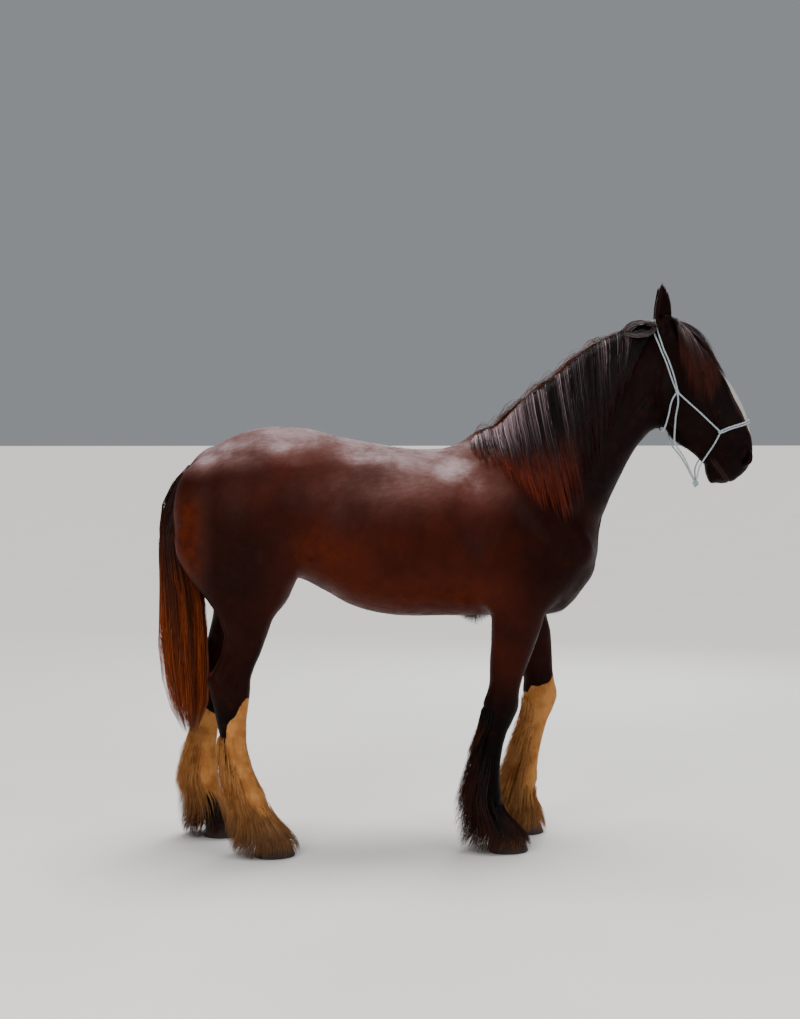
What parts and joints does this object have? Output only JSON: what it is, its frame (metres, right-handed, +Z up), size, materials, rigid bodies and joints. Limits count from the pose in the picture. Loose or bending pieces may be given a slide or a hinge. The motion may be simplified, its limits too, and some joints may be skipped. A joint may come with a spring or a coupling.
{
  "type": "clydesdale horse",
  "caption": "Life-size young Clydesdale horse standing still in a rope halter, bay with white feathered legs and a long mane and tail",
  "frame": {"origin": "on the floor, under the middle of the horse's box", "axes": "+X towards the muzzle, +Y to the horse's left, +Z up"},
  "size_m": [2.297, 0.5868, 2.158],
  "materials": {
    "coat": "short glossy liver-bay summer coat over skin, with white and dark leg markings and a white blaze",
    "feather_white": "long soft white leg hair, stained cream and tan by dust",
    "feather_dark": "long black-brown leg hair with red-brown tips",
    "mane": "long straight black hair, bleached red-brown at the tips",
    "tail": "long straight hair, black-brown above and orange-brown below",
    "hoof": "dull grey-brown horn with growth rings, dusty at the ground",
    "eye": "wet dark brown eye",
    "rope": "braided pale blue-grey cord"
  },
  "bodies": {
    "root": {"ear_left": "coat", "ear_right": "coat", "eye_left": "eye", "eye_right": "eye", "fore_left_cannon": "coat", "fore_left_feather": "feather_white", "fore_left_hoof": "hoof", "fore_left_pastern": "coat", "fore_left_upper": "coat", "fore_right_cannon": "coat", "fore_right_feather": "feather_dark", "fore_right_hoof": "hoof", "fore_right_pastern": "coat", "fore_right_upper": "coat", "forelock": "mane", "halter_cheek_knot_left": "rope", "halter_cheek_knot_right": "rope", "halter_cheek_rope_left": "rope", "halter_cheek_rope_right": "rope", "halter_chin_rope_left": "rope", "halter_chin_rope_right": "rope", "halter_crown_rope_front": "rope", "halter_crown_rope_rear": "rope", "halter_fiador_knot": "rope", "halter_jaw_rope_left": "rope", "halter_jaw_rope_right": "rope", "halter_nose_knot_left": "rope", "halter_nose_knot_right": "rope", "halter_nose_rope_lower": "rope", "halter_nose_rope_upper": "rope", "halter_throat_rope": "rope", "head": "coat", "hind_left_cannon": "coat", "hind_left_feather": "feather_white", "hind_left_hoof": "hoof", "hind_left_pastern": "coat", "hind_left_upper": "coat", "hind_right_cannon": "coat", "hind_right_feather": "feather_white", "hind_right_hoof": "hoof", "hind_right_pastern": "coat", "hind_right_upper": "coat", "lower_jaw": "coat", "mane": "mane", "neck": "coat", "tail": "tail", "trunk": "coat"}
  },
  "joints": []
}
